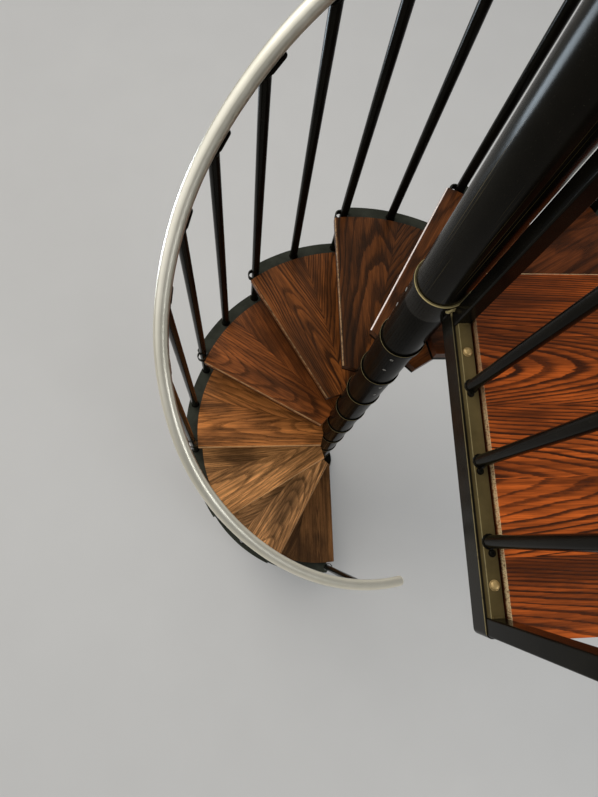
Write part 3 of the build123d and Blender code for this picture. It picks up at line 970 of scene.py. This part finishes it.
# Beads at the landing's hub: over the beam's top, down its west side, and the tie at the ring,
# which dips to both sides
HUB_ARC = range(-66, 18, 4)
HUB_CLEAR = 0.0012
HUB_BEAD = 0.0030
SEAT_BEAD = 0.0028
SEAT_PITCH = 0.0025
SEAT_POINTS = range(1, 20)
TIE_ARC = range(-82, -60, 3)
TIE_MIDDLE = -72
TIE_IN = 0.001
TIE_DROP = 0.010
TIE_DIP = 0.0012
TIE_BEAD = 0.0046
hub_beads = bmesh.new()
arc = [polar(SLEEVE_R + HUB_CLEAR, a, BEAM_TOP) for a in HUB_ARC]
bead(hub_beads, arc, HUB_BEAD)
seat_y = -math.sqrt(SLEEVE_R ** 2 - BEAM_X ** 2)
seat = [Vector((BEAM_X - BEAD_CLEAR, seat_y, BEAM_FOOT + SEAT_PITCH * i)) for i in SEAT_POINTS]
bead(hub_beads, seat, SEAT_BEAD)
tie = [polar(RING_R - TIE_IN, a, LANDING_Z - TIE_DROP - TIE_DIP * abs(a - TIE_MIDDLE))
       for a in TIE_ARC]
bead(hub_beads, tie, TIE_BEAD)
piece("hub_beads", hub_beads, black_steel("hub_weld", hub_wear_and_highlight))

# Beads where the north side meets the hub, and at the feet of the guard's balusters
GUARD_CLEAR = 0.0005
GUARD_BEAD = 0.0018
seat_x = math.sqrt(SLEEVE_R ** 2 - BEAM_NORTH ** 2)
seat = [Vector((seat_x, BEAM_NORTH + BEAD_CLEAR, BEAM_FOOT + SEAT_PITCH * i))
        for i in SEAT_POINTS]
bead(beads, seat, SEAT_BEAD)
for y in GUARD_FEET_Y:
    foot = Vector((GUARD_X, y, BAR_TOP))
    collar(beads, foot, UP, UP, GUARD_BAL_R + GUARD_CLEAR, GUARD_BEAD)
piece("weld_beads", beads, steel)

# Beads across the ends of the guard's bottom bar, at the posts
BAR_BEAD = 0.0022
BAR_BEAD_START = 0.0245
BAR_BEAD_PITCH = 0.0019
BAR_BEAD_POINTS = range(11)
BAR_BEADS_Y = (-0.0784, -0.5672)
bm = bmesh.new()
for y in BAR_BEADS_Y:
    row = [Vector((BAR_BEAD_START + BAR_BEAD_PITCH * i, y, BAR_TOP)) for i in BAR_BEAD_POINTS]
    bead(bm, row, BAR_BEAD)
piece("bar_beads", bm, lit_bar_steel)

# Domed plugs in the rails' ends, each with a thin bright rim
PLUG_SIDES = 48
END_STEP = 0.01
bm = bmesh.new()
foot_way = rail_point(RAIL_START) - rail_point(RAIL_START - END_STEP)
head_way = rail_point(RAIL_END) - rail_point(RAIL_END + END_STEP)
low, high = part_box("guard_handrail")
guard_end = (GUARD_X, low[1], high[2] - RAIL_TUBE_R)
turned(bm, facing(rail_point(RAIL_START), foot_way), PLUG, PLUG_SIDES)
turned(bm, facing(rail_point(RAIL_END), head_way), PLUG, PLUG_SIDES)
turned(bm, facing(guard_end, (0, -1, 0)), PLUG, PLUG_SIDES)
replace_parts(piece("rail_end_plugs", bm, stair_rail, 25), "rail_plugs")

BOARD_EASE = 0.0016
DECK_EASE = 0.0014
EASE_ANGLE = 50
EASE_WELD = 0.00002


# Eased arrises on the boards and the deck, which the CAD leaves sharp
def ease(name, width):
    node = nodes[name]
    weld = node.modifiers.new("weld", "WELD")
    weld.merge_threshold = EASE_WELD
    bevel = node.modifiers.new("ease", "BEVEL")
    bevel.width = width
    bevel.segments = 3
    bevel.limit_method = "ANGLE"
    bevel.angle_limit = math.radians(EASE_ANGLE)
    bevel.use_clamp_overlap = True
    normals = node.modifiers.new("normals", "WEIGHTED_NORMAL")
    normals.keep_sharp = False


for n in range(1, TREADS + 1):
    ease("tread_board_%02d" % n, BOARD_EASE)
ease("landing_deck", DECK_EASE)


# Floor, just under the base plate
FLOOR_REACH = 40
FLOOR_DROP = 0.0005
FLOOR_CLOUD = (3.0, 3.0, 0.5)
FLOOR_TONES = ((197, 195, 191), (200, 198, 194))
FLOOR_ROUGH = 0.75


def floor_plane():
    mesh = bpy.data.meshes.new("floor")
    corners = [(x * FLOOR_REACH, y * FLOOR_REACH, 0)
               for x, y in ((-1, -1), (1, -1), (1, 1), (-1, 1))]
    mesh.from_pydata(corners, [], [(0, 1, 2, 3)])
    floor = show(bpy.data.objects.new("floor", mesh))
    floor.location.z = -FLOOR_DROP
    p = Paint("pale_floor")
    colour = clouded(p, p.noise(p.place, *FLOOR_CLOUD), *FLOOR_TONES, 0.2, 0.8)
    mesh.materials.append(p.finish(Base_Color=colour, Roughness=FLOOR_ROUGH))


# Lamps: place, target, diameter, watts, colour and spread in degrees; the window stands low, and
# its narrow spread gives the newel its bluish band without lighting the floor
LAMPS = {
    "key": ((-2.6, 2.4, 6.0), (0, 0, 1.8), 3.0, 98, (1.0, 0.96, 0.90), 180),
    "top": ((-1.2, -0.6, 6.2), (0, 0, 1.8), 1.5, 15, (1.0, 0.93, 0.80), 180),
    "fill": ((3.2, -2.8, 4.6), (0, 0, 1.5), 2.4, 55, (0.9, 0.95, 1.0), 180),
    "window": ((-2.2, 1.65, 0.7), (0, 0, 2.7), 1.1, 5.5, (0.72, 0.86, 1.0), 60),
}


def lamp(name, place, target, size, power, colour, spread):
    light = bpy.data.lights.new(name, "AREA")
    light.shape = "DISK"
    light.size = size
    light.energy = power
    light.color = colour
    light.spread = math.radians(spread)
    holder = show(bpy.data.objects.new(name, light))
    holder.visible_camera = False
    aim = Vector(target) - Vector(place)
    turn = aim.to_track_quat("-Z", "Y").to_matrix().to_4x4()
    holder.matrix_world = Matrix.Translation(place) @ turn


# World: brightest towards one side, so that the rail's metal has something to show
BRIGHT_SIDE = Vector((-0.72, 0.50, 0.48)).normalized()
WORLD_TURNS = (-0.2, 0.95)
WORLD_LEVELS = (0.30, 1.00)
WORLD_COLOUR = (0.95, 0.97, 1.0, 1.0)


def studio_world():
    world = bpy.data.worlds.new("world")
    bpy.context.scene.world = world
    world.use_nodes = True
    tree = world.node_tree
    sky = tree.nodes["Background"]
    sky.inputs["Color"].default_value = WORLD_COLOUR
    heading = tree.nodes.new("ShaderNodeTexCoord")
    side = tree.nodes.new("ShaderNodeVectorMath")
    side.operation = "DOT_PRODUCT"
    side.inputs[1].default_value = BRIGHT_SIDE
    level = tree.nodes.new("ShaderNodeMapRange")
    level.interpolation_type = "SMOOTHSTEP"
    limits = zip(("From Min", "From Max", "To Min", "To Max"), WORLD_TURNS + WORLD_LEVELS)
    for key, value in limits:
        level.inputs[key].default_value = value
    tree.links.new(heading.outputs["Generated"], side.inputs[0])
    tree.links.new(side.outputs["Value"], level.inputs["Value"])
    tree.links.new(level.outputs[0], sky.inputs["Strength"])


floor_plane()
for name, settings in LAMPS.items():
    lamp(name, *settings)
studio_world()
